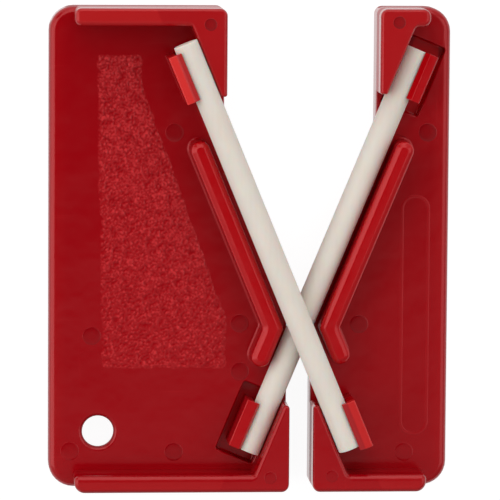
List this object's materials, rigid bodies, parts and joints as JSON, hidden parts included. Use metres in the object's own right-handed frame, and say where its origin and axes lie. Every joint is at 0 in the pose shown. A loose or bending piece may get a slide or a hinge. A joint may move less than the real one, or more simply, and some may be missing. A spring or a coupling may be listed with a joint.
{
  "type": "pocket knife sharpener",
  "caption": "Pocket knife sharpener: two moulded plastic halves held side by side by crossed ceramic rods that form a V for drawing a blade through, with a thumb pad and a key-ring hole.",
  "frame": {"origin": "middle of the footprint, on the plane of the two back rims that the sharpener lies on", "axes": "+Y up the V, from the crossed rods to the blade's mouth; +Z out of the open front; +X from the grip half to the narrow half"},
  "size_m": [0.0776, 0.0934, 0.0159],
  "materials": {
    "red_plastic": "satin",
    "ceramic": "matte"
  },
  "bodies": {
    "frame": {"grip_half": "red_plastic", "narrow_half": "red_plastic"},
    "front_rod": {"front_rod": "ceramic"},
    "rear_rod": {"rear_rod": "ceramic"}
  },
  "joints": [
    {"name": "front_rod_turn", "type": "hinge", "parent": "frame", "child": "front_rod", "pos_m": [0.0097, -0.01497, 0.01284], "axis": [-0.3827, 0.9239, 0], "continuous": true},
    {"name": "rear_rod_turn", "type": "hinge", "parent": "frame", "child": "rear_rod", "pos_m": [0.0097, -0.01497, 0.00778], "axis": [0.3827, 0.9239, 0], "continuous": true}
  ]
}
